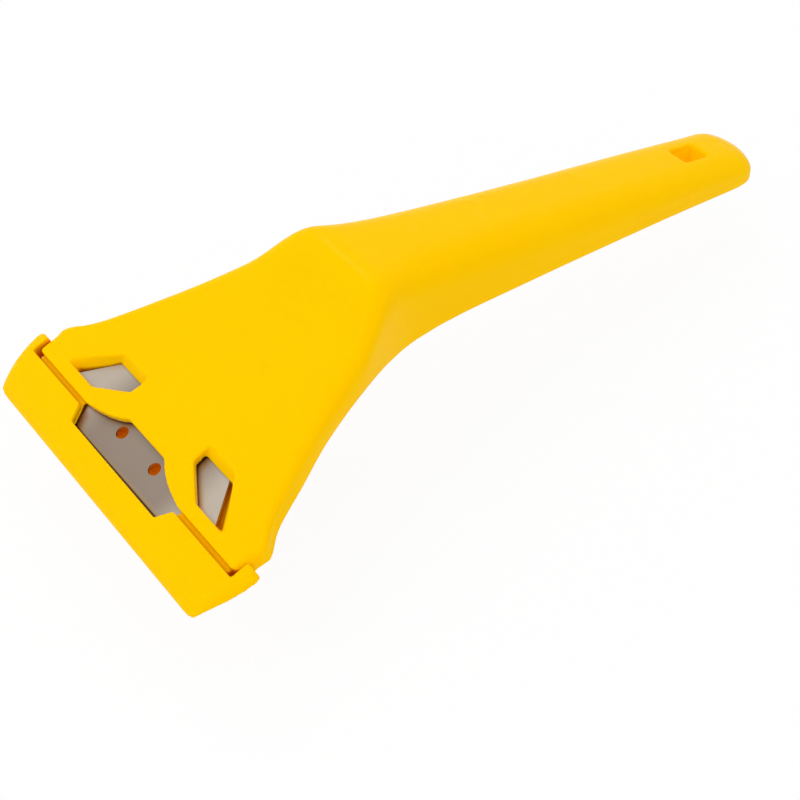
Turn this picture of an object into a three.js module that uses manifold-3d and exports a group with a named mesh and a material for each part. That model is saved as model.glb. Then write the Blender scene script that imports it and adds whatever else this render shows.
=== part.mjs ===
// Blade scraper: moulded handle, trapezoid blade and push-on blade guard.
// Millimetres, +X toward the end of the grip, +Y to the left of it, +Z up; it lies on Z = 0.
// Head sizes are given along the head plane (s, from the front step), across it (y) and off it (h, up).

import * as THREE from 'three';
import { mergeVertices } from 'three/addons/utils/BufferGeometryUtils.js';
import Module from 'manifold-3d';

const wasm = await Module();
wasm.setup();

// Fits shared by all three pieces
const FIT_GAP = 0.3;
const SLIDE_GAP = 0.3;
const PAST = 1;
const FAR = 200;
const MERGE = 1e-4;
const ARC_STEPS = 6;

// Blade
const BLADE_LENGTH = 62;
const BLADE_DEPTH = 18.7;
const BLADE_THICK = 0.6;
const BLADE_END_SLOPE = 0.75;
const BLADE_SHIFT = 0.6;
const BLADE_REACH = 8.2;
const GRIND_WIDTH = 2.2;
const EDGE_THICK = 0.06;
const HOLE_DIAMETER = 2.5;
const HOLE_SPACING = 10.9;
const HOLE_FROM_EDGE = 9.5;
const HOLE_SIDES = 24;

// Head of the handle
const HEAD_TILT = 19.9;
const STEP_HEIGHT = 6.6;
const HEAD_THICK = 4;
const ROOF_THICK = 1.6;
const LIP_DROP = 1.0;
const NOSE_LENGTH = 4.6;
const NOSE_CHAMFER = 0.2;
const CORNER_RADIUS = 1.6;
const CORNER_CENTRE = 31.5;
const SCALLOP_DEPTH = 3.7;
const SCALLOP_BACK = 6.2;
const SCALLOP_FRONT = 15.7;
const SCALLOP_FLANK = [[0.3, 13.7], [1, 10.2]];
const SCALLOP_ROUND = 0.9;
const WINDOW_RIM = [[2.65, 26], [2.65, 17.4], [7.1, 10.4], [11.2, 10.2], [11.0, 17.9]];
const WINDOW_FLOOR = [[2.7, 24.3], [2.7, 17.2], [7.1, 10.4], [9.3, 10.3], [9.3, 18.6]];
const WINDOW_ROUND = 0.35;
const WINDOW_SINK = 0.9;
const LOWER_WINDOW_FRONT = 4.6;
const LOWER_WINDOW_BACK = 9.6;
const LOWER_WINDOW_INNER = 2;
const LOWER_WINDOW_OUTER = 8.6;

const PAD_DROP = 1.4;
const PAD_CHAMFER = 0.6;
const PAD_BACK = 4.8;
const PAD_HALF = 12.4;
const WELL_FRONT = 0.25;
const WELL_BACK = 3.4;
const WELL_HALF = 11;
const WELL_DEPTH = 2;

// Ramp and grip
const RAMP_START = 36;
const RAMP_END = 48;
const GRIP_TOP = 26.7;
const GRIP_FALL = 11.9;
const GRIP_END = 149;
const END_ROUND = 6.5;
const END_HALF = 0.5;
const TOP_ROUND = 2.6;
const SIDE_DRAFT = 2.6;
const RIM_ROUND = 0.7;
const CROWN_SHARE = 0.9;
const EDGE_ROUND = [
  [0, 1.6], [12, 2.4], [26, 3.6], [38, 4.6], [46, 5.2], [54, 5.8], [66, 6.2], [GRIP_END, 5.8],
];
const EDGE_DROP = [
  [0, 1.6], [12, 2.2], [26, 2.8], [38, 3.6], [46, 4.2], [54, 4.8], [66, 5.2], [GRIP_END, 4.6],
];
const PLAN_HALF = [
  [0, CORNER_CENTRE + CORNER_RADIUS], [3.2, CORNER_CENTRE + CORNER_RADIUS], [4.8, 33.5], [6.4, 32.6],
  [7.9, 31.1], [11, 28.9], [17.6, 25.6],
  [24.5, 22.6], [31.5, 19.9], [37, 17.8], [41.5, 15.6], [46, 13.4], [51, 11.7], [57, 10.8], [66, 10.3],
  [90, 9.4], [120, 8.6], [140, 7.8],
];
const UNDER_START = 10;
const UNDERSIDE = [
  [18, 7.5], [27, 10.1], [38, 12.1], [50, 10.6], [62, 9.9], [80, 7.9], [100, 5.6], [120, 3.2], [141, 0],
];
const LEAN_FROM = 12;
const LEAN_TO = 30;
const HEAD_STATION = 1.1;
const GRIP_STATION = 5.5;
const FRONT_EXTRA = 9;

// Hollow underside, ribs and hang hole
const WALL = 2;
const ROOF = 2.2;
const HOLLOW_START = 14;
const HOLLOW_END = 146;
const HOLLOW_ROUND = 1;
const RIB_THICK = 1.4;
const RIB_RECESS = 1.5;
const RIB_FIRST = 28;
const RIB_PITCH = 13.8;
const RIB_COUNT = 8;
const SIDE_RIB = 12.5;
const SIDE_RIB_END = RIB_FIRST + RIB_PITCH;
const HANG_CENTRE = 134;
const HANG_LENGTH = 6.8;
const HANG_WIDTH = 4.9;
const HANG_WALL = 1.5;

// Guard
const GROOVE = 1;
const GUARD_FRONT = -10.2;
const GUARD_CREST = 1.4;
const GUARD_TURN = 2.1;
const GUARD_BACK = 2.6;
const GUARD_TOP = [
  [GUARD_BACK, 0], [GUARD_TURN, 0.2], [GUARD_CREST, 0.25], [-1, 0.3], [-4, 0.2], [-6.4, -0.15], [-8.4, -0.85],
  [-9.6, -1.6], [GUARD_FRONT, -2.4],
];
const GUARD_NOSE = [[GUARD_FRONT, -2.75]];
const GUARD_TOE = -9.2;
const GUARD_HALF = [
  [GUARD_FRONT, 32.8], [-8.6, 33.6], [-7.2, 34.2], [-4.4, 35.3], [-2, 36], [0.2, 36.4], [GUARD_CREST, 36.5],
  [GUARD_TURN, 36.4], [GUARD_BACK, 36],
];
const GUARD_END_DRAFT = 0.45;
const LUG_FILLET = 0.4;
const GUARD_END_ROUND = 3.2;
const GUARD_END_SHARE = 0.7;
const GUARD_STATIONS = 9;
const FOOT_HALF = 28.8;
const FOOT_SLOPE = 0.3;
const GUARD_SLAB = 0.25;
const GUARD_FLOOR = 1.2;
const CHANNEL_FRONT = 0.4;
const CHANNEL_LOW = 0.35;
const NOTCH_DEPTH = 3.05;
const NOTCH_BACK = 15.85;
const NOTCH_FRONT = 14.05;

// Colours
const YELLOW = 0xfecd04;
const STEEL = 0xa79c8e;

const tilt = THREE.MathUtils.degToRad(HEAD_TILT);
const slotTop = -ROOF_THICK;
const bladeTop = slotTop - FIT_GAP;
const bladeLow = bladeTop - BLADE_THICK;
const slotLow = bladeLow - FIT_GAP;
const bladeBack = BLADE_DEPTH - BLADE_REACH;
const channelHalf = BLADE_LENGTH / 2 + BLADE_SHIFT + FIT_GAP;
const noseHalf = channelHalf - FIT_GAP;
const channelTop = -LIP_DROP + GUARD_SLAB;
const headMatrix = new THREE.Matrix4().makeRotationY(-tilt).setPosition(0, 0, STEP_HEIGHT);

// Value at a place on a smooth line through control points, without overshoot
function follow(points, at) {
  const last = points.length - 1;
  const slope = (i) => (points[i + 1][1] - points[i][1]) / (points[i + 1][0] - points[i][0]);
  if (at <= points[0][0]) {
    return points[0][1];
  }
  if (at >= points[last][0]) {
    return points[last][1];
  }
  const tangent = (i) => {
    if (i === 0) {
      return slope(0);
    }
    if (i === last) {
      return slope(last - 1);
    }
    const before = slope(i - 1);
    const after = slope(i);
    return before * after <= 0 ? 0 : 2 * before * after / (before + after);
  };
  let i = 0;
  while (at > points[i + 1][0]) {
    i += 1;
  }
  const run = points[i + 1][0] - points[i][0];
  const t = (at - points[i][0]) / run;
  const rise = points[i + 1][1] - points[i][1];
  const a = tangent(i) * run;
  const b = tangent(i + 1) * run;
  return points[i][1] + a * t + (3 * rise - 2 * a - b) * t * t + (a + b - 2 * rise) * t * t * t;
}

// Manifold solid of a closed geometry, turned outward if it came inside out
function solid(geometry) {
  const bare = geometry.clone();
  bare.deleteAttribute('normal');
  bare.deleteAttribute('uv');
  const welded = mergeVertices(bare, MERGE);
  const mesh = { numProp: 3, vertProperties: new Float32Array(welded.attributes.position.array) };
  mesh.triVerts = new Uint32Array(welded.index.array);
  return new wasm.Manifold(new wasm.Mesh(mesh));
}

function toGeometry(body) {
  const mesh = body.getMesh();
  const geometry = new THREE.BufferGeometry();
  geometry.setAttribute('position', new THREE.Float32BufferAttribute(mesh.vertProperties, mesh.numProp));
  geometry.setIndex(Array.from(mesh.triVerts));
  return geometry;
}

// Skin over loops of points with the same count, closed by a fan at each end
function loft(loops) {
  const count = loops[0].length;
  const positions = loops.flat().flatMap((p) => [p.x, p.y, p.z]);
  const index = [];
  for (let i = 0; i + 1 < loops.length; i += 1) {
    for (let j = 0; j < count; j += 1) {
      const a = i * count + j;
      const b = i * count + (j + 1) % count;
      index.push(a, b, b + count, a, b + count, a + count);
    }
  }
  const end = (loops.length - 1) * count;
  for (let j = 1; j + 1 < count; j += 1) {
    index.push(0, j + 1, j, end, end + j, end + j + 1);
  }
  let volume = 0;
  const corner = (k) => loops[Math.floor(k / count)][k % count];
  for (let k = 0; k < index.length; k += 3) {
    const cross = corner(index[k + 1]).clone().cross(corner(index[k + 2]));
    volume += corner(index[k]).dot(cross);
  }
  const geometry = new THREE.BufferGeometry();
  geometry.setAttribute('position', new THREE.Float32BufferAttribute(positions, 3));
  geometry.setIndex(volume < 0 ? index.slice().reverse() : index);
  return geometry;
}

function outline(points) {
  return new THREE.Shape(points.map(([x, y]) => new THREE.Vector2(x, y)));
}

// Plan shape (s, y) of the head, standing between two heights off the head plane
function standing(shape, low, high) {
  const geometry = new THREE.ExtrudeGeometry(shape, {
    depth: high - low, bevelEnabled: false, curveSegments: ARC_STEPS,
  });
  geometry.translate(0, 0, low);
  return solid(geometry.applyMatrix4(headMatrix));
}

// Side shape (s, h) of the head, running across it between two half widths
function across(shape, half) {
  const geometry = new THREE.ExtrudeGeometry(shape, { depth: 2 * half, bevelEnabled: false });
  const turn = new THREE.Matrix4().makeBasis(
    new THREE.Vector3(1, 0, 0), new THREE.Vector3(0, 0, 1), new THREE.Vector3(0, -1, 0),
  );
  geometry.translate(0, 0, -half);
  return solid(geometry.applyMatrix4(turn).applyMatrix4(headMatrix));
}

function box(x0, x1, y0, y1, z0, z1) {
  const geometry = new THREE.BoxGeometry(x1 - x0, y1 - y0, z1 - z0);
  geometry.translate((x0 + x1) / 2, (y0 + y1) / 2, (z0 + z1) / 2);
  return solid(geometry);
}

const mirrored = (points) => points.concat(points.map(([s, y]) => [s, -y]).reverse());

// Corners of a convex loop rounded off with short arcs
function rounded(points, radius) {
  const out = [];
  const count = points.length;
  points.forEach((point, i) => {
    const here = new THREE.Vector2(...point);
    const back = new THREE.Vector2(...points[(i + count - 1) % count]).sub(here).normalize();
    const on = new THREE.Vector2(...points[(i + 1) % count]).sub(here).normalize();
    const start = here.clone().addScaledVector(back, radius);
    const finish = here.clone().addScaledVector(on, radius);
    const curve = new THREE.QuadraticBezierCurve(start, here, finish);
    out.push(...curve.getPoints(ARC_STEPS / 2));
  });
  return out;
}

// Handle skin: heights and widths along the part
function headTop(x) {
  return STEP_HEIGHT + x * Math.tan(tilt);
}

function gripTop(x) {
  return GRIP_TOP - (x - RAMP_END) * Math.tan(THREE.MathUtils.degToRad(GRIP_FALL));
}

function topAt(x) {
  if (x <= RAMP_START) {
    return headTop(x);
  }
  if (x >= RAMP_END) {
    return gripTop(x);
  }
  const run = RAMP_END - RAMP_START;
  const t = (x - RAMP_START) / run;
  const rise = gripTop(RAMP_END) - headTop(RAMP_START);
  const a = Math.tan(tilt) * run;
  const b = -Math.tan(THREE.MathUtils.degToRad(GRIP_FALL)) * run;
  return headTop(RAMP_START) + a * t + (3 * rise - 2 * a - b) * t * t + (a + b - 2 * rise) * t * t * t;
}

// Underside: parallel to the head plane at the front, then an arch down to the end of the grip
function underAt(x) {
  const plate = (at) => headTop(at) - HEAD_THICK / Math.cos(tilt);
  return x <= UNDER_START ? plate(x) : follow([[UNDER_START, plate(UNDER_START)], ...UNDERSIDE], x);
}

// Half width of the side wall at a depth below the top, leaning with the head near the front
function halfAt(x, depth) {
  const fade = 1 - THREE.MathUtils.smoothstep(x, LEAN_FROM, LEAN_TO);
  const place = x - depth * Math.sin(tilt) * Math.cos(tilt) * fade;
  return follow(PLAN_HALF, place) + depth * Math.tan(THREE.MathUtils.degToRad(SIDE_DRAFT));
}

// Closed section of the handle with elliptic shoulders, drawn in by an inset for the hollow
function section(x, inset, roof, bottom) {
  const ease = Math.max(0, (x - (GRIP_END - END_ROUND)) / END_ROUND);
  const drawIn = Math.sqrt(Math.max(0, 1 - ease ** 3));
  const top = topAt(x) - roof - TOP_ROUND * (1 - Math.sqrt(Math.max(0, 1 - ease * ease)));
  const drop = Math.min(Math.max(HOLLOW_ROUND, follow(EDGE_DROP, x) - inset), (top - bottom) / 2);
  const shoulder = Math.max(END_HALF, (halfAt(x, drop) - inset) * drawIn);
  const bend = Math.min(Math.max(HOLLOW_ROUND, follow(EDGE_ROUND, x) - inset), shoulder * CROWN_SHARE);
  const rim = Math.min(RIM_ROUND, shoulder / 2);
  const foot = Math.max(END_HALF, (halfAt(x, top - bottom) - inset) * drawIn);
  const half = [];
  for (let i = 0; i <= ARC_STEPS; i += 1) {
    const turn = (i / ARC_STEPS) * Math.PI / 2;
    half.push([shoulder - bend + bend * Math.sin(turn), top - drop + drop * Math.cos(turn)]);
  }
  half.push([foot, bottom + rim]);
  half.push([foot - rim, bottom]);
  const loop = half.map(([y, z]) => new THREE.Vector3(x, y, z));
  const other = half.map(([y, z]) => new THREE.Vector3(x, -y, z)).reverse();
  return loop.concat(other);
}

function stations(from, to) {
  const list = [];
  let x = from;
  while (x < to - MERGE) {
    list.push(x);
    const fine = x < RAMP_END + GRIP_STATION || x > GRIP_END - END_ROUND - GRIP_STATION;
    x += fine ? HEAD_STATION : GRIP_STATION;
  }
  list.push(to);
  return list;
}

function handleSkin() {
  return solid(loft(stations(-FRONT_EXTRA, GRIP_END).map((x) => section(x, 0, 0, underAt(x)))));
}

// Rib along the handle, its lower edge following the arch of the underside
function lengthRib(y, end) {
  const from = HOLLOW_START - PAST;
  const low = stations(from, end).map((x) => [x, underAt(x) + RIB_RECESS]);
  const shape = outline([...low, [end, FAR], [from, FAR]]);
  const geometry = new THREE.ExtrudeGeometry(shape, { depth: RIB_THICK, bevelEnabled: false });
  geometry.rotateX(Math.PI / 2);
  geometry.translate(0, y + RIB_THICK / 2, 0);
  return solid(geometry);
}

function hollow() {
  const loops = stations(HOLLOW_START, HOLLOW_END).map((x) => section(x, WALL, ROOF, underAt(x) - PAST));
  let space = solid(loft(loops));
  for (let i = 0; i < RIB_COUNT; i += 1) {
    const x = RIB_FIRST + i * RIB_PITCH;
    const low = underAt(x) + RIB_RECESS;
    space = space.subtract(box(x - RIB_THICK / 2, x + RIB_THICK / 2, -FAR, FAR, low, FAR));
  }
  space = space.subtract(lengthRib(0, HANG_CENTRE));
  for (const side of [1, -1]) {
    space = space.subtract(lengthRib(side * SIDE_RIB, SIDE_RIB_END));
  }
  const boss = HANG_LENGTH / 2 + HANG_WALL;
  return space.subtract(box(HANG_CENTRE - boss, HANG_CENTRE + boss, -FAR, FAR, -PAST, FAR));
}

function hangHole() {
  const side = HANG_LENGTH / 2;
  const half = HANG_WIDTH / 2;
  return box(HANG_CENTRE - side, HANG_CENTRE + side, -half, half, -PAST, GRIP_TOP);
}

// Everything of the handle skin behind the front step, whose two corners are rounded
function behindStep() {
  const shape = new THREE.Shape();
  shape.moveTo(0, -CORNER_CENTRE);
  shape.lineTo(0, CORNER_CENTRE);
  shape.absarc(CORNER_RADIUS, CORNER_CENTRE, CORNER_RADIUS, Math.PI, Math.PI / 2, true);
  shape.lineTo(CORNER_RADIUS, FAR);
  shape.lineTo(FAR, FAR);
  shape.lineTo(FAR, -FAR);
  shape.lineTo(CORNER_RADIUS, -FAR);
  shape.absarc(CORNER_RADIUS, -CORNER_CENTRE, CORNER_RADIUS, -Math.PI / 2, -Math.PI, true);
  return standing(shape, -FAR, FAR);
}

const underGuard = (s) => -(STEP_HEIGHT + s * Math.sin(tilt)) / Math.cos(tilt);
const channelFloor = (s) => underGuard(s) + GUARD_FLOOR / Math.cos(tilt);

// Nose that the guard slips over: a jaw under the blade and a thin lip above it
function nose() {
  const front = -NOSE_LENGTH;
  const chin = Math.max(channelFloor(front) + FIT_GAP, NOSE_CHAMFER - HEAD_THICK);
  const jaw = across(outline([
    [front, slotTop], [PAST, slotTop], [PAST, -HEAD_THICK],
    [front + HEAD_THICK + chin, -HEAD_THICK], [front, chin],
  ]), noseHalf);
  const lip = across(outline([
    [front, slotTop], [front, -LIP_DROP], [PAST, -LIP_DROP], [PAST, slotTop],
  ]), noseHalf);
  return jaw.add(lip.subtract(notch([front - PAST, notchEnd, SCALLOP_DEPTH], slotTop)));
}

// Notch through the guard's top slab; the lip under it carries on the same flanks
const notchEnd = -GROOVE - NOTCH_DEPTH;
const notchFlare = (NOTCH_BACK - NOTCH_FRONT) / NOTCH_DEPTH;
const notchHalf = (s) => NOTCH_FRONT + Math.max(0, s - notchEnd) * notchFlare;

function notch(places, low) {
  const points = places.map((s) => [s, notchHalf(s)]);
  return standing(outline(mirrored(points)), low - FIT_GAP, GROOVE);
}

const bladeHalf = (s) => BLADE_LENGTH / 2 - BLADE_END_SLOPE * (s + BLADE_REACH);

function slot() {
  const front = -NOSE_LENGTH - PAST;
  const back = bladeBack + FIT_GAP;
  const points = [front, back].map((s) => [s, bladeHalf(s) + BLADE_SHIFT + FIT_GAP]);
  return standing(outline(mirrored(points)), slotLow, slotTop);
}

function scallop() {
  const shape = new THREE.Shape();
  const start = SCALLOP_DEPTH - SCALLOP_ROUND;
  const turn = SCALLOP_BACK + SCALLOP_ROUND;
  const [near, back] = SCALLOP_FLANK;
  shape.moveTo(-PAST, SCALLOP_FRONT);
  shape.lineTo(0, SCALLOP_FRONT);
  shape.bezierCurveTo(near[0], near[1], back[0], back[1], start, turn);
  shape.quadraticCurveTo(SCALLOP_DEPTH, SCALLOP_BACK, SCALLOP_DEPTH, SCALLOP_BACK - SCALLOP_ROUND);
  shape.lineTo(SCALLOP_DEPTH, -SCALLOP_BACK + SCALLOP_ROUND);
  shape.quadraticCurveTo(SCALLOP_DEPTH, -SCALLOP_BACK, start, -turn);
  shape.bezierCurveTo(back[0], -back[1], near[0], -near[1], 0, -SCALLOP_FRONT);
  shape.lineTo(-PAST, -SCALLOP_FRONT);
  return standing(shape, slotTop - FIT_GAP, PAST);
}

// Funnel-shaped window through the roof, on one side; the slope runs on past the roof at both ends
function windowCut(side) {
  const rim = rounded(WINDOW_RIM, WINDOW_ROUND);
  const floor = rounded(WINDOW_FLOOR, WINDOW_ROUND);
  const level = (share) => rim.map((p, i) => new THREE.Vector3(
    THREE.MathUtils.lerp(p.x, floor[i].x, share),
    side * THREE.MathUtils.lerp(p.y, floor[i].y, share),
    -share * ROOF_THICK,
  ));
  const sunk = level(1).map((p) => p.clone().setZ(slotLow - WINDOW_SINK));
  const above = level(-PAST / ROOF_THICK);
  return solid(loft([sunk, level(1), above]).applyMatrix4(headMatrix));
}

function lowerWindow(side) {
  const inner = side * LOWER_WINDOW_INNER;
  const outer = side * LOWER_WINDOW_OUTER;
  const points = [
    [LOWER_WINDOW_FRONT, inner], [LOWER_WINDOW_BACK, inner],
    [LOWER_WINDOW_BACK, outer], [LOWER_WINDOW_FRONT, outer],
  ];
  const ordered = side > 0 ? points : points.slice().reverse();
  return standing(outline(ordered), -FAR, slotTop - FIT_GAP);
}

// Low tab that closes the pocket in front of a rounded corner, with a gap to the guard
function cornerTab(side) {
  const inner = side * (noseHalf - PAST);
  const outer = side * (CORNER_CENTRE + CORNER_RADIUS);
  const front = SLIDE_GAP - GROOVE;
  const points = [[front, inner], [CORNER_RADIUS + PAST, inner], [CORNER_RADIUS + PAST, outer], [front, outer]];
  const ordered = side > 0 ? points : points.slice().reverse();
  return standing(outline(ordered), -HEAD_THICK, slotLow);
}

// Pad under the head, hollowed by a well below the blade's holes
function pad() {
  const low = -HEAD_THICK - PAD_DROP;
  return across(outline([
    [-PAD_CHAMFER, -HEAD_THICK], [-PAD_CHAMFER, slotLow], [PAD_BACK, slotLow], [PAD_BACK, low], [0, low],
  ]), PAD_HALF);
}

function well() {
  const low = slotLow - WELL_DEPTH;
  return across(outline([
    [WELL_FRONT, low], [WELL_BACK, low], [WELL_BACK, slotTop - FIT_GAP], [WELL_FRONT, slotTop - FIT_GAP],
  ]), WELL_HALF);
}

function handle() {
  let body = handleSkin().intersect(behindStep());
  body = body.add(nose());
  body = body.subtract(hollow());
  body = body.add(pad()).add(cornerTab(1)).add(cornerTab(-1));
  body = body.subtract(slot());
  body = body.subtract(well());
  body = body.subtract(scallop());
  for (const side of [1, -1]) {
    body = body.subtract(windowCut(side));
    body = body.subtract(lowerWindow(side));
  }
  return body.subtract(hangHole());
}

function blade() {
  const middle = (bladeTop + bladeLow) / 2;
  const row = (s, thick) => [[1, 1], [-1, 1], [-1, -1], [1, -1]].map(
    ([y, h]) => new THREE.Vector3(s, BLADE_SHIFT + y * bladeHalf(s), middle + h * thick / 2),
  );
  const edge = -BLADE_REACH;
  const rows = [row(edge, EDGE_THICK), row(edge + GRIND_WIDTH, BLADE_THICK), row(bladeBack, BLADE_THICK)];
  let body = solid(loft(rows).applyMatrix4(headMatrix));
  for (const side of [1, -1]) {
    const drill = new THREE.CylinderGeometry(HOLE_DIAMETER / 2, HOLE_DIAMETER / 2, 2 * PAST, HOLE_SIDES);
    drill.rotateX(Math.PI / 2);
    drill.translate(edge + HOLE_FROM_EDGE, BLADE_SHIFT + side * HOLE_SPACING / 2, middle);
    body = body.subtract(solid(drill.applyMatrix4(headMatrix)));
  }
  return body;
}

// Guard skin: one side section carried across, its ends flared in plan and rounded off
function guardSkin() {
  const foot = [GUARD_TOE, GUARD_CREST, GUARD_TURN, GUARD_BACK].map((s) => [s, underGuard(s)]);
  const side = [...GUARD_TOP, ...GUARD_NOSE, ...foot];
  const rising = GUARD_TOP.slice().reverse();
  const reach = (s, h) => follow(GUARD_HALF, s) - GUARD_END_DRAFT * Math.max(0, follow(rising, s) - h);
  const middle = (bladeTop + bladeLow) / 2;
  const flat = 1 - GUARD_END_ROUND / follow(GUARD_HALF, GUARD_BACK);
  const places = [];
  for (let i = 0; i < GUARD_STATIONS; i += 1) {
    const turn = (i / (GUARD_STATIONS - 1)) * Math.PI / 2;
    places.push([flat + (1 - flat) * Math.sin(turn), 1 - GUARD_END_SHARE * (1 - Math.cos(turn))]);
  }
  const all = places.map(([t, k]) => [-t, k]).reverse().concat(places);
  const loops = all.map(([t, k]) => side.map(
    ([s, h]) => new THREE.Vector3(s, t * reach(s, h), middle + (h - middle) * k),
  ));
  return solid(loft(loops).applyMatrix4(headMatrix));
}

// Slopes under both ends of the guard, which leave it a plain foot to lie on
function footSlopes() {
  const rise = FOOT_SLOPE * (FAR - FOOT_HALF);
  const sunk = FOOT_HALF - PAST / FOOT_SLOPE;
  const shape = outline([
    [-FAR, -FAR], [FAR, -FAR], [FAR, rise], [sunk, -PAST], [-sunk, -PAST], [-FAR, rise],
  ]);
  const geometry = new THREE.ExtrudeGeometry(shape, { depth: 2 * FAR, bevelEnabled: false });
  const turn = new THREE.Matrix4().makeBasis(
    new THREE.Vector3(0, 1, 0), new THREE.Vector3(0, 0, 1), new THREE.Vector3(1, 0, 0),
  );
  geometry.translate(0, 0, -FAR);
  return solid(geometry.applyMatrix4(turn));
}

function guard() {
  const front = -BLADE_REACH - CHANNEL_FRONT;
  const back = GUARD_BACK + PAST;
  const channel = across(outline([
    [back, channelTop], [-NOSE_LENGTH - FIT_GAP, channelTop], [front, bladeTop + CHANNEL_LOW],
    [front, channelFloor(front)], [back, channelFloor(back)],
  ]), channelHalf);
  const shape = new THREE.Shape();
  const lug = CORNER_CENTRE + CORNER_RADIUS + SLIDE_GAP;
  const turn = LUG_FILLET - GROOVE;
  shape.moveTo(-GROOVE, LUG_FILLET - lug);
  shape.lineTo(-GROOVE, lug - LUG_FILLET);
  shape.absarc(turn, lug - LUG_FILLET, LUG_FILLET, Math.PI, Math.PI / 2, true);
  shape.lineTo(FAR, lug);
  shape.lineTo(FAR, -lug);
  shape.absarc(turn, LUG_FILLET - lug, LUG_FILLET, -Math.PI / 2, -Math.PI, true);
  const rear = standing(shape, -FAR, FAR);
  const cuts = [channel, rear, notch([notchEnd, SCALLOP_DEPTH], channelTop), footSlopes()];
  return cuts.reduce((body, cut) => body.subtract(cut), guardSkin());
}

const group = new THREE.Group();
group.name = 'blade_scraper';

function place(name, body, colour, roughness, metalness) {
  const material = new THREE.MeshStandardMaterial({ color: colour, roughness, metalness });
  const mesh = new THREE.Mesh(toGeometry(body), material);
  mesh.name = name;
  group.add(mesh);
}

const PLASTIC_ROUGHNESS = 0.45;
const STEEL_ROUGHNESS = 0.35;
place('handle', handle(), YELLOW, PLASTIC_ROUGHNESS, 0);
place('blade', blade(), STEEL, STEEL_ROUGHNESS, 1);
place('guard', guard(), YELLOW, PLASTIC_ROUGHNESS, 0);

// Middle of the outer box goes to X = 0, Y = 0, its underside to Z = 0
const bounds = new THREE.Box3().setFromObject(group);
const centre = bounds.getCenter(new THREE.Vector3());
for (const mesh of group.children) {
  mesh.geometry.translate(-centre.x, -centre.y, -bounds.min.z);
  mesh.geometry.computeVertexNormals();
}

export default group;
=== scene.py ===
# %% [markdown]
# # A blade scraper with a push-on guard
# The object is a moulded yellow handle with a wide head, a trapezoid steel blade that slides into a slot in
# the head, and a yellow guard that is pushed over the cutting edge.
# The solids come from the CAD frame, so every size is settled. This lesson softens their edges as a mould
# does, gives them plastic and steel finishes, and lights them as a plain studio shot.

# %% Load the frame
import math

import bmesh
import bpy
import numpy as np
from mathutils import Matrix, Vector


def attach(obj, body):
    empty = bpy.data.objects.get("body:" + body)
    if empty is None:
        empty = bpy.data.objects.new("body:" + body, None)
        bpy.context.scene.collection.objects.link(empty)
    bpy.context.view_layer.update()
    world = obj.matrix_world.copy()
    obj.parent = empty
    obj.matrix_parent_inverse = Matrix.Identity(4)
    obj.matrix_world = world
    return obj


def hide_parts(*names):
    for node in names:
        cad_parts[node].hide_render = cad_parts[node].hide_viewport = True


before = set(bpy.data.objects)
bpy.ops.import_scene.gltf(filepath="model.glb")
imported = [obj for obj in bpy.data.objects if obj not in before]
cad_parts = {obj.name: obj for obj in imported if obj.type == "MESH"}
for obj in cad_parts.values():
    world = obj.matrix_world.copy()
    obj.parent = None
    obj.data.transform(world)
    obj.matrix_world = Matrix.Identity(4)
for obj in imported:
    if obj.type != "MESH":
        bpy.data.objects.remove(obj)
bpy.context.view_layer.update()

# %% [markdown]
# ## Camera
# The shot looks down on the scraper from its front right corner with a fairly long lens.
# A camera could be aimed with a Track To constraint, but the view also leans by about half a degree, so its
# place and its three turns are written out. They come from fitting the windows, blade holes and hang hole.

# %% Place the camera
CAMERA_PLACE = (-0.14090, -0.17281, 0.20367)
CAMERA_TURNS_DEGREES = (44.3192, 0.5933, -37.372)
scene = bpy.context.scene
camera_data = bpy.data.cameras.new("studio_camera")
camera_data.sensor_width = 36.0
camera_data.lens = 69.83
camera_data.clip_start = 0.01
camera = bpy.data.objects.new("studio_camera", camera_data)
camera.location = CAMERA_PLACE
camera.rotation_euler = tuple(math.radians(turn) for turn in CAMERA_TURNS_DEGREES)
scene.collection.objects.link(camera)
scene.camera = camera
scene.view_settings.view_transform = "Standard"
print("camera lens", camera_data.lens, "mm, distance", round(camera.location.length, 3), "m")

# %% [markdown]
# ## Small helpers for node trees
# Every finish below is a node tree. Three helpers keep the cells short: one adds a node with its settings and
# socket values, one joins two sockets, and one starts a material with an empty tree.


# %% Node helpers
def add_node(tree, kind, sockets=None, **settings):
    node = tree.nodes.new(kind)
    for name, value in settings.items():
        setattr(node, name, value)
    for name, value in (sockets or {}).items():
        node.inputs[name].default_value = value
    return node


def join(tree, source, target):
    tree.links.new(source, target)


def fresh_material(name):
    material = bpy.data.materials.new(name)
    material.use_nodes = True
    tree = material.node_tree
    tree.nodes.clear()
    return material, tree, add_node(tree, "ShaderNodeOutputMaterial")


print("node helpers ready")

# %% [markdown]
# ## Finish: white studio floor
# The floor is white to the camera and in reflections, but keeps a share of its own shading, so the part's
# soft shadow stays. A strong lamp on the floor would whiten it too, but its light would spill on the part.
# A Light Path node tells the rays that see the floor from the rays that light the part.

# %% White floor
WHITE = (1.0, 1.0, 1.0, 1.0)
FLOOR_GREY = (0.88, 0.88, 0.88, 1.0)
FLOOR_GLOW = 0.94


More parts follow.
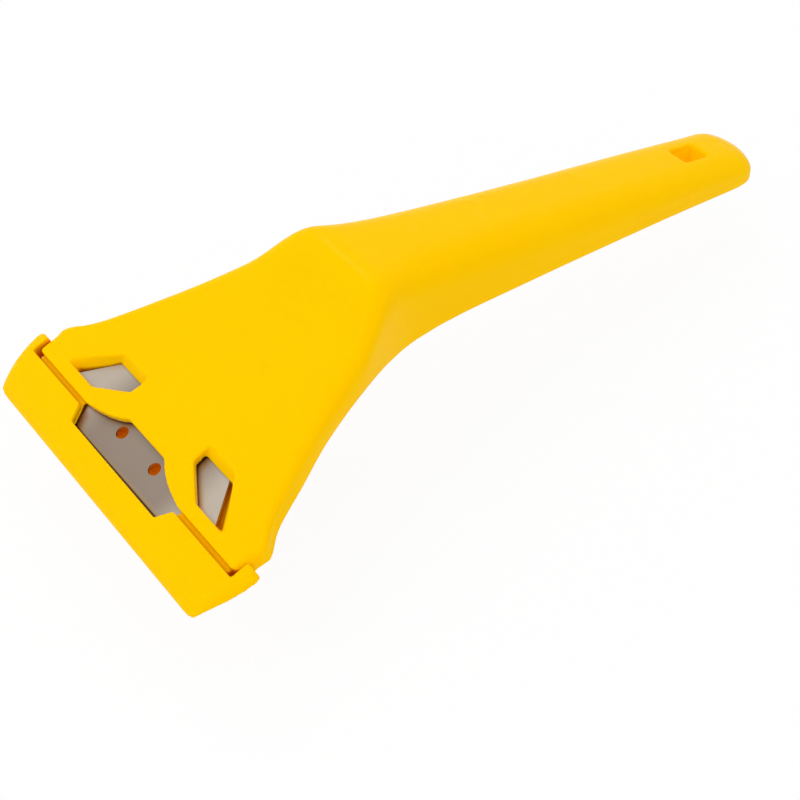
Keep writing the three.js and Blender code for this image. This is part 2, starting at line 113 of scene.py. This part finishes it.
def white_floor():
    material, tree, output = fresh_material("studio_floor")
    matt = add_node(tree, "ShaderNodeBsdfDiffuse", {"Color": FLOOR_GREY})
    glow = add_node(tree, "ShaderNodeEmission", {"Color": WHITE, "Strength": 1.0})
    path = add_node(tree, "ShaderNodeLightPath")
    seen = add_node(tree, "ShaderNodeMath", operation="MAXIMUM")
    also = add_node(tree, "ShaderNodeMath", operation="MAXIMUM")
    share = add_node(tree, "ShaderNodeMath", {1: FLOOR_GLOW}, operation="MULTIPLY")
    mix = add_node(tree, "ShaderNodeMixShader")
    join(tree, path.outputs["Is Camera Ray"], seen.inputs[0])
    join(tree, path.outputs["Is Glossy Ray"], seen.inputs[1])
    join(tree, seen.outputs[0], also.inputs[0])
    join(tree, path.outputs["Is Transmission Ray"], also.inputs[1])
    join(tree, also.outputs[0], share.inputs[0])
    join(tree, share.outputs[0], mix.inputs["Fac"])
    join(tree, matt.outputs[0], mix.inputs[1])
    join(tree, glow.outputs[0], mix.inputs[2])
    join(tree, mix.outputs[0], output.inputs["Surface"])
    return material


FLOOR_WHITE = white_floor()
print("finish", FLOOR_WHITE.name, "is", FLOOR_GLOW, "white to the camera")

# %% [markdown]
# ## Studio floor
# One large square is enough for a floor. It could lie right under the part, but the guard and the blade slide
# forward and down, past the plane that the part rests on, and would be hidden. So it lies a little lower.

# %% Lay the floor
FLOOR_HALF = 1.5
FLOOR_DROP = 0.0145
floor_mesh = bpy.data.meshes.new("studio_floor")
corners = [(x * FLOOR_HALF, y * FLOOR_HALF, 0) for x, y in ((-1, -1), (1, -1), (1, 1), (-1, 1))]
floor_mesh.from_pydata(corners, [], [(0, 1, 2, 3)])
floor_mesh.materials.append(FLOOR_WHITE)
floor = bpy.data.objects.new("studio_floor", floor_mesh)
floor.location.z = -FLOOR_DROP
scene.collection.objects.link(floor)
print("floor", 2 * FLOOR_HALF, "m wide,", FLOOR_DROP * 1000, "mm below the part")

# %% [markdown]
# ## White sky
# A product shot on white needs an even, bright surround. Large panels could give it, but a plain white sky is
# simpler and lights every side. It is a little weaker as light than it looks to the camera.

# %% Sky
SKY_STRENGTH = 0.84
world = bpy.data.worlds.new("studio_sky")
scene.world = world
world.use_nodes = True
sky = world.node_tree
sky.nodes.clear()
sky_out = add_node(sky, "ShaderNodeOutputWorld")
sky_light = add_node(sky, "ShaderNodeBackground", {"Color": WHITE, "Strength": SKY_STRENGTH})
sky_seen = add_node(sky, "ShaderNodeBackground", {"Color": WHITE, "Strength": 1.0})
sky_path = add_node(sky, "ShaderNodeLightPath")
sky_mix = add_node(sky, "ShaderNodeMixShader")
join(sky, sky_path.outputs["Is Camera Ray"], sky_mix.inputs["Fac"])
join(sky, sky_light.outputs[0], sky_mix.inputs[1])
join(sky, sky_seen.outputs[0], sky_mix.inputs[2])
join(sky, sky_mix.outputs[0], sky_out.inputs["Surface"])
print("sky strength", SKY_STRENGTH)

# %% [markdown]
# ## Lamps
# Three weak lamps shape the even light of the sky. One from behind draws the line along the crest of the
# handle, one from the left lights the slope of the head, and a broad one fills the near side.
# Disks are used, because a point lamp would leave hard shadows. Each one is turned to face the part.


# %% Soft lamps
def soft_lamp(name, place, size, power):
    data = bpy.data.lights.new(name, "AREA")
    data.shape = "DISK"
    data.size = size
    data.energy = power
    lamp = bpy.data.objects.new(name, data)
    lamp.location = place
    lamp.rotation_euler = (-Vector(place)).to_track_quat("-Z", "Y").to_euler()
    scene.collection.objects.link(lamp)
    print(name, "of", power, "W,", size, "m wide")


soft_lamp("back_lamp", (0.118, 0.571, 0.711), size=0.19, power=1.1)
soft_lamp("left_lamp", (-0.60, 0.10, 0.68), size=0.25, power=1.35)
soft_lamp("side_lamp", (-0.10, -0.90, 0.20), size=0.8, power=1.2)

# %% [markdown]
# ## Light in the corners
# Yellow plastic colours its own corners: light that goes from wall to wall loses its green at every step, so
# deep gaps look orange. That takes more steps than the usual four, so the renderer is allowed ten.

# %% More bounces
scene.cycles.diffuse_bounces = 10
print("diffuse bounces", scene.cycles.diffuse_bounces)

# %% [markdown]
# ## Shared effect: moulded grain
# Moulded plastic and rolled steel are never quite even. A fine noise stands for the texture of the mould or
# the mill, and a broad noise for slow changes of tone and polish.
# The group gives out a height for a Bump node and a broad mask, so each finish can use it with its own scale.


# %% Grain group
def grain_group():
    group = bpy.data.node_groups.new("moulded_grain", "ShaderNodeTree")
    for name, value in (("Fine Scale", 4000.0), ("Broad Scale", 60.0), ("Stretch", 1.0)):
        socket = group.interface.new_socket(name=name, in_out="INPUT", socket_type="NodeSocketFloat")
        socket.default_value = value
        socket.min_value = 0.0
    for name in ("Height", "Broad Mask"):
        group.interface.new_socket(name=name, in_out="OUTPUT", socket_type="NodeSocketFloat")
    inside = add_node(group, "NodeGroupInput")
    outside = add_node(group, "NodeGroupOutput")
    place = add_node(group, "ShaderNodeTexCoord")
    stretch = add_node(group, "ShaderNodeCombineXYZ", {"X": 1.0, "Z": 1.0})
    shaped = add_node(group, "ShaderNodeVectorMath", operation="MULTIPLY")
    fine = add_node(group, "ShaderNodeTexNoise", {"Detail": 2.0, "Roughness": 0.6})
    broad = add_node(group, "ShaderNodeTexNoise", {"Detail": 3.0, "Roughness": 0.5})
    join(group, inside.outputs["Stretch"], stretch.inputs["Y"])
    join(group, place.outputs["Object"], shaped.inputs[0])
    join(group, stretch.outputs[0], shaped.inputs[1])
    join(group, shaped.outputs[0], fine.inputs["Vector"])
    join(group, place.outputs["Object"], broad.inputs["Vector"])
    join(group, inside.outputs["Fine Scale"], fine.inputs["Scale"])
    join(group, inside.outputs["Broad Scale"], broad.inputs["Scale"])
    join(group, fine.outputs["Fac"], outside.inputs["Height"])
    join(group, broad.outputs["Fac"], outside.inputs["Broad Mask"])
    return group


GRAIN = grain_group()
print("group", GRAIN.name, "gives", [s.name for s in GRAIN.interface.items_tree if s.in_out == "OUTPUT"])

# %% [markdown]
# ## Finish: yellow moulded plastic
# The plastic is a strong warm yellow, coloured all through, with a satin surface: it shines softly along its
# edges and shows no clear reflections. A small Subsurface Weight lets thin walls pass a little light, and an
# Ambient Occlusion node finds the narrow gaps and paints them a deeper orange: painted shade for the light
# that bounces about in them.
# Two deep places are shown lighter than bounced light makes them. The handle's mesh carries a colour for
# them, named painted_glow, which goes to the emission. It is painted light, a glow that no lamp gives.

# %% Yellow plastic
YELLOW_A = (0.980, 0.543, 0.0, 1.0)
YELLOW_B = (0.995, 0.570, 0.0, 1.0)
GAP_SHADE_ORANGE = (0.70, 0.18, 0.0, 1.0)
GAP_REACH = 0.003
PLASTIC_SHADER = {
    "IOR": 1.46,
    "Specular IOR Level": 0.03,
    "Specular Tint": (1.0, 0.8, 0.1, 1.0),
    "Emission Strength": 1.0,
    "Subsurface Weight": 0.3,
    "Subsurface Radius": (1.0, 0.3, 0.05),
    "Subsurface Scale": 0.001,
}


def yellow_plastic():
    material, tree, output = fresh_material("moulded_yellow")
    grain = add_node(tree, "ShaderNodeGroup", {"Fine Scale": 3200.0, "Broad Scale": 45.0}, node_tree=GRAIN)
    tone = add_node(tree, "ShaderNodeMix", {"A": YELLOW_A, "B": YELLOW_B}, data_type="RGBA")
    # Painted shade: the narrow gaps found by the Ambient Occlusion node are tinted a deeper orange.
    open_sky = add_node(tree, "ShaderNodeAmbientOcclusion", {"Distance": GAP_REACH}, samples=8)
    depth = add_node(tree, "ShaderNodeMapRange", {"From Min": 0.05, "From Max": 0.50})
    painted_gap_shade = add_node(tree, "ShaderNodeMix", {"A": GAP_SHADE_ORANGE}, data_type="RGBA")
    polish = add_node(tree, "ShaderNodeMapRange", {"To Min": 0.24, "To Max": 0.30})
    bump = add_node(tree, "ShaderNodeBump", {"Strength": 0.12, "Distance": 0.00004})
    # Painted glow: the emission colour carried by the handle's mesh lights the two deep places.
    glow = add_node(tree, "ShaderNodeAttribute", attribute_name="painted_glow")
    plastic = add_node(tree, "ShaderNodeBsdfPrincipled", PLASTIC_SHADER)
    join(tree, grain.outputs["Broad Mask"], tone.inputs["Factor"])
    join(tree, grain.outputs["Broad Mask"], polish.inputs["Value"])
    join(tree, grain.outputs["Height"], bump.inputs["Height"])
    join(tree, open_sky.outputs["AO"], depth.inputs["Value"])
    join(tree, depth.outputs[0], painted_gap_shade.inputs["Factor"])
    join(tree, tone.outputs["Result"], painted_gap_shade.inputs["B"])
    join(tree, painted_gap_shade.outputs["Result"], plastic.inputs["Base Color"])
    join(tree, polish.outputs[0], plastic.inputs["Roughness"])
    join(tree, glow.outputs["Color"], plastic.inputs["Emission Color"])
    join(tree, bump.outputs[0], plastic.inputs["Normal"])
    join(tree, plastic.outputs[0], output.inputs["Surface"])
    return material


PLASTIC = yellow_plastic()
print("finish", PLASTIC.name, "with", len(PLASTIC.node_tree.nodes), "nodes")

# %% [markdown]
# ## Tone of the blade steel
# The blade is stamped from strip steel, which is a warm grey. Its open middle is made darker than its
# ends. A second material could show that, but it would end in a hard line, so a mask over the distance from
# the middle darkens it softly and lightens the ends.

# %% Darker middle, brighter ends
DARK_MIDDLE_A = (0.315, 0.245, 0.195, 1.0)
DARK_MIDDLE_B = (0.352, 0.286, 0.234, 1.0)
BRIGHT_END = (0.545, 0.475, 0.395, 1.0)
DARK_MIDDLE_INNER = 0.010
DARK_MIDDLE_OUTER = 0.018


def middle_and_end_tone(tree, across, grain):
    reach = add_node(tree, "ShaderNodeMath", operation="ABSOLUTE")
    span = {"From Min": DARK_MIDDLE_INNER, "From Max": DARK_MIDDLE_OUTER}
    toward_ends = add_node(tree, "ShaderNodeMapRange", span, interpolation_type="SMOOTHSTEP")
    dark_middle = add_node(tree, "ShaderNodeMix", {"A": DARK_MIDDLE_A, "B": DARK_MIDDLE_B}, data_type="RGBA")
    tone = add_node(tree, "ShaderNodeMix", {"B": BRIGHT_END}, data_type="RGBA")
    join(tree, across, reach.inputs[0])
    join(tree, reach.outputs[0], toward_ends.inputs["Value"])
    join(tree, grain.outputs["Broad Mask"], dark_middle.inputs["Factor"])
    join(tree, dark_middle.outputs["Result"], tone.inputs["A"])
    join(tree, toward_ends.outputs[0], tone.inputs["Factor"])
    return tone.outputs["Result"]


print("blade dull within", DARK_MIDDLE_INNER * 1000, "mm of its middle, clean past", DARK_MIDDLE_OUTER * 1000, "mm")

# %% [markdown]
# ## Painted gap shadow by the guard's edge
# A thin dark line with a tan fringe runs where the blade goes under the guard. It is painted on the blade:
# the brown is painted shadow of the gap under the guard's edge, and the tan is a painted reflection of that
# yellow edge. A Color Ramp over the distance from the line gives these and the bright ground bevel.
# The distance runs along the slope of the head, and the line grows a little wider toward the near end.

# %% Painted gap shadow line
SLOPE_X = 0.94029
SLOPE_Z = 0.34038
LINE_PLACE = 0.06775
LINE_WIDTH = 0.00026
LINE_TAPER = -0.006
BRIGHT = (0.640, 0.580, 0.520)
GUARD_REFLECTION_TAN = (0.450, 0.320, 0.170)
GAP_SHADOW_BROWN = (0.085, 0.036, 0.004)
PAINTED_GAP_STOPS = (
    (0.07, BRIGHT, 0.9),
    (0.13, GAP_SHADOW_BROWN, 0.9),
    (0.31, GAP_SHADOW_BROWN, 0.9),
    (0.40, GUARD_REFLECTION_TAN, 0.8),
    (0.83, GUARD_REFLECTION_TAN, 0.0),
)


# Painted shadow and painted reflection: a brown line for the gap under the guard's edge, a tan fringe for its
# reflection.
def painted_gap_line(tree, place, across):
    along = add_node(tree, "ShaderNodeVectorMath", {1: (SLOPE_X, 0.0, SLOPE_Z)}, operation="DOT_PRODUCT")
    behind = add_node(tree, "ShaderNodeMath", {1: LINE_PLACE}, operation="ADD")
    width = add_node(tree, "ShaderNodeMath", {1: LINE_TAPER, 2: LINE_WIDTH}, operation="MULTIPLY_ADD")
    step = add_node(tree, "ShaderNodeMath", operation="DIVIDE")
    band = add_node(tree, "ShaderNodeMapRange", {"From Min": -1.0, "From Max": 5.0})
    painted_gap = add_node(tree, "ShaderNodeValToRGB")
    while len(painted_gap.color_ramp.elements) < len(PAINTED_GAP_STOPS):
        painted_gap.color_ramp.elements.new(0.5)
    for element, (spot, colour, share) in zip(painted_gap.color_ramp.elements, PAINTED_GAP_STOPS):
        element.position = spot
        element.color = (*colour, share)
    join(tree, place, along.inputs[0])
    join(tree, along.outputs["Value"], behind.inputs[0])
    join(tree, across, width.inputs[0])
    join(tree, behind.outputs[0], step.inputs[0])
    join(tree, width.outputs[0], step.inputs[1])
    join(tree, step.outputs[0], band.inputs["Value"])
    join(tree, band.outputs[0], painted_gap.inputs["Fac"])
    return painted_gap


# This line is the painted shadow and reflection by the guard's edge.
print("heat line", round(LINE_WIDTH * 1000, 2), "mm to a step of its ramp, at the middle of the blade")

# %% [markdown]
# ## Finish: satin blade steel
# The tone, the painted gap shadow line and an underside that is left bright are mixed in turn. Rolled strip
# has fine lines along its length. They could be modelled as scratches, but they are far too fine, so the
# grain group is used with a strong stretch along the blade, for the polish and for a faint bump.

# %% Blade steel
UNDERSIDE = (0.760, 0.710, 0.650, 1.0)


def blade_steel():
    material, tree, output = fresh_material("satin_steel")
    scales = {"Fine Scale": 5200.0, "Broad Scale": 110.0, "Stretch": 0.03}
    grain = add_node(tree, "ShaderNodeGroup", scales, node_tree=GRAIN)
    place = add_node(tree, "ShaderNodeTexCoord").outputs["Object"]
    axes = add_node(tree, "ShaderNodeSeparateXYZ")
    join(tree, place, axes.inputs[0])
    across = axes.outputs["Y"]
    tone = middle_and_end_tone(tree, across, grain)
    painted_gap = painted_gap_line(tree, place, across)
    coloured = add_node(tree, "ShaderNodeMix", data_type="RGBA")
    surface = add_node(tree, "ShaderNodeNewGeometry")
    facing = add_node(tree, "ShaderNodeSeparateXYZ")
    upper = add_node(tree, "ShaderNodeMapRange", {"From Min": -0.2, "From Max": 0.2})
    sides = add_node(tree, "ShaderNodeMix", {"A": UNDERSIDE}, data_type="RGBA")
    polish = add_node(tree, "ShaderNodeMapRange", {"To Min": 0.30, "To Max": 0.40})
    bump = add_node(tree, "ShaderNodeBump", {"Strength": 0.10, "Distance": 0.00003})
    steel = add_node(tree, "ShaderNodeBsdfPrincipled", {"Metallic": 1.0})
    join(tree, painted_gap.outputs["Alpha"], coloured.inputs["Factor"])
    join(tree, tone, coloured.inputs["A"])
    join(tree, painted_gap.outputs["Color"], coloured.inputs["B"])
    join(tree, surface.outputs["Normal"], facing.inputs[0])
    join(tree, facing.outputs["Z"], upper.inputs["Value"])
    join(tree, upper.outputs[0], sides.inputs["Factor"])
    join(tree, coloured.outputs["Result"], sides.inputs["B"])
    join(tree, grain.outputs["Height"], polish.inputs["Value"])
    join(tree, grain.outputs["Height"], bump.inputs["Height"])
    join(tree, sides.outputs["Result"], steel.inputs["Base Color"])
    join(tree, polish.outputs[0], steel.inputs["Roughness"])
    join(tree, bump.outputs[0], steel.inputs["Normal"])
    join(tree, steel.outputs[0], output.inputs["Surface"])
    return material


STEEL = blade_steel()
print("finish", STEEL.name, "with", len(STEEL.node_tree.nodes), "nodes")

# %% [markdown]
# ## Softening the moulded edges
# A mould never makes a truly sharp edge: each one ends in a small radius that catches the light.
# A Bevel would do on a simple block, but the cuts in the head leave edges far shorter than the radius, which
# it can't turn. So a copy of the solid is rebuilt as an even skin of small squares, and a few rounds of
# smoothing roll its edges over. A vertex group can ask for more rounds where a form is rounder.
# Flat stretches need few faces, so a Decimate step then thins the skin out. Where it folds a face into a thin
# double fin, both sides of the fin are deleted, so that the mesh stays closed.

# %% Rolling edges over
EDGE_ROUNDS = 5


def rolled_over(rough, rounds, group=""):
    rolled = rough.modifiers.new("rolled_edges", "SMOOTH")
    rolled.factor = 0.5
    rolled.iterations = rounds
    rolled.vertex_group = group


def baked(rough):
    old = rough.data
    made = rough.evaluated_get(bpy.context.evaluated_depsgraph_get())
    rough.data = bpy.data.meshes.new_from_object(made)
    rough.modifiers.clear()
    bpy.data.meshes.remove(old)


print("edges roll over in", EDGE_ROUNDS, "rounds")


# %% Clean mesh and finished piece
def without_fins(mesh):
    work = bmesh.new()
    work.from_mesh(mesh)
    same = {}
    for face in work.faces:
        same.setdefault(frozenset(vertex.index for vertex in face.verts), []).append(face)
    fins = [face for faces in same.values() if len(faces) > 1 for face in faces]
    bmesh.ops.delete(work, geom=fins, context="FACES")
    work.to_mesh(mesh)
    work.free()
    print("fins taken off:", len(fins))


def dressed(mesh, name, material):
    mesh.name = name
    mesh.materials.clear()
    mesh.materials.append(material)
    mesh.shade_smooth()
    piece = bpy.data.objects.new(name, mesh)
    scene.collection.objects.link(piece)
    print(name, len(mesh.polygons), "faces in", material.name)
    return piece


# %% Softened copy of a solid
ZONE_STEPS = 8


def softened(node, name, material, skin_size, kept, zone=None, zone_rounds=0):
    rough = bpy.data.objects.new(name + "_rough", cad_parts[node].data.copy())
    scene.collection.objects.link(rough)
    skin = rough.modifiers.new("even_skin", "REMESH")
    skin.mode = "VOXEL"
    skin.voxel_size = skin_size
    rolled_over(rough, EDGE_ROUNDS)
    baked(rough)
    if zone:
        group = rough.vertex_groups.new(name="zone")
        share = np.rint(zone(rough.data) * ZONE_STEPS)
        for level in range(1, ZONE_STEPS + 1):
            group.add(np.flatnonzero(share == level).tolist(), level / ZONE_STEPS, "REPLACE")
        rolled_over(rough, zone_rounds, "zone")
    rough.modifiers.new("thinned", "DECIMATE").ratio = kept
    baked(rough)
    made = rough.data
    bpy.data.objects.remove(rough)
    without_fins(made)
    return dressed(made, name, material)


print("a zone is weighted in", ZONE_STEPS, "steps")

# %% [markdown]
# ## Where the handle is rounder
# The crest, the shoulders and the grip are much rounder than the rim of the head, so they get extra rounds.
# The zone could be painted by hand, but a formula stays right when the skin changes. It fades in behind the
# windows, weakens along the grip and round the hang hole, and takes faces that look up or lie high on the
# sides, above a line that falls away from the crest both ways. Each fade has a start and a length.

# %% Zone of the shoulders
FRONT_FADE = (-0.048, 0.010)
GRIP_FADE = (0.010, 0.020)
GRIP_LOSS = 0.65
HOLE_X = 0.0639
HOLE_RADIUS = 0.004
HOLE_LEAST = 0.3
CREST_X = -0.008
SIDE_HEIGHT = 0.0155
SIDE_FADE = 0.003
HEAD_SLOPE = 0.15
GRIP_SLOPE = -0.143
UP_FADE = (0.10, 0.25)
DOWN_LIMIT = -0.3


def fade(value, start, length):
    return np.clip((value - start) / length, 0, 1)


def upper_shoulders(mesh):
    place = np.empty(len(mesh.vertices) * 3)
    facing = np.empty(len(mesh.vertices) * 3)
    mesh.vertices.foreach_get("co", place)
    mesh.vertex_normals.foreach_get("vector", facing)
    along, across, height, up = place[0::3], place[1::3], place[2::3], facing[2::3]
    front = fade(along, *FRONT_FADE)
    grip = 1.0 - GRIP_LOSS * fade(along, *GRIP_FADE)
    hole = np.clip(np.hypot(along - HOLE_X, across) / HOLE_RADIUS - 1.0, HOLE_LEAST, 1)
    past_crest = along - CREST_X
    low = SIDE_HEIGHT + np.where(past_crest < 0, HEAD_SLOPE, GRIP_SLOPE) * past_crest
    top = fade(up, *UP_FADE)
    side = fade(height, low, SIDE_FADE) * (up > DOWN_LIMIT)
    return front * grip * hole * np.maximum(top, side)


print("extra rounds start at", FRONT_FADE[0] * 1000, "mm, grip keeps", round(1 - GRIP_LOSS, 2), "of them")

# %% [markdown]
# ## Painted glow in two deep places
# The holes of the blade look down into a well in the head, and the hang hole goes through the grip. Both are
# shown a warm orange. Lamps inside them would light their surroundings too, so the points of the mesh
# that lie in them get a faint painted glow of their own, an emission colour found by their place.

# %% Painted glow
WELL_PAINTED_GLOW = (0.085, 0.018, 0.0, 1.0)
HOLE_PAINTED_GLOW = (0.11, 0.09, 0.0, 1.0)
NO_PAINTED_GLOW = (0.0, 0.0, 0.0, 1.0)
WELL_HALF_Y = 0.0115
WELL_ALONG = (-0.0637, -0.0600)
WELL_UP = (0.0250, 0.0272)
HOLE_HALF_X = 0.0038
HOLE_HALF_Y = 0.0028
HOLE_TOP = 0.0075


def between(value, limits):
    return limits[0] < value < limits[1]


def in_blade_well(point):
    along = SLOPE_X * point.x + SLOPE_Z * point.z
    up = SLOPE_X * point.z - SLOPE_Z * point.x
    return abs(point.y) < WELL_HALF_Y and between(along, WELL_ALONG) and between(up, WELL_UP)


def in_hang_hole(point):
    return abs(point.x - HOLE_X) < HOLE_HALF_X and abs(point.y) < HOLE_HALF_Y and point.z < HOLE_TOP


# Painted glow: an emission colour on the points in the blade well and the hang hole, standing for light.
def painted_glow(piece):
    glow = piece.data.attributes.new("painted_glow", "FLOAT_COLOR", "POINT")
    touched = 0
    for vertex, value in zip(piece.data.vertices, glow.data):
        value.color = NO_PAINTED_GLOW
        for inside, colour in ((in_blade_well, WELL_PAINTED_GLOW), (in_hang_hole, HOLE_PAINTED_GLOW)):
            if inside(vertex.co):
                value.color = colour
                touched += 1
    print("light through", touched, "points")


# %% [markdown]
# ## Handle
# The handle is one moulding: the wide head with its windows and slot, the ramp, and the arched grip. It could
# be built from parts, but the real one shows no seam, so one softened copy of the solid is used.

# %% Handle
HANDLE_SKIN = 0.00022
HANDLE_KEPT = 0.2
SHOULDER_ROUNDS = 260
handle = softened(
    "handle", "moulded_handle", PLASTIC, HANDLE_SKIN, HANDLE_KEPT, upper_shoulders, SHOULDER_ROUNDS
)
painted_glow(handle)
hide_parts("handle")
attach(handle, "handle")

# %% [markdown]
# ## Guard
# The guard is a small cap of the same plastic, pushed over the cutting edge. It is softened as the handle
# is, from a slightly finer skin, because it is smaller. It rides on its own body, so it can slide off.

# %% Guard
GUARD_SKIN = 0.0002
GUARD_KEPT = 0.3
guard = softened("guard", "moulded_guard", PLASTIC, GUARD_SKIN, GUARD_KEPT)
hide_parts("guard")
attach(guard, "guard")

# %% [markdown]
# ## Blade
# The blade is a stamping with crisp edges, so softening would spoil it. Its solid is copied as it is, and
# only its shading is split where faces meet at more than a few degrees, which keeps the low bevel crisp.

# %% Blade
SHARP_DEGREES = 4
blade = dressed(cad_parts["blade"].data.copy(), "steel_blade", STEEL)
blade.data.set_sharp_from_angle(angle=math.radians(SHARP_DEGREES))
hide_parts("blade")
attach(blade, "blade")

# %% Update the view layer
bpy.context.view_layer.update()
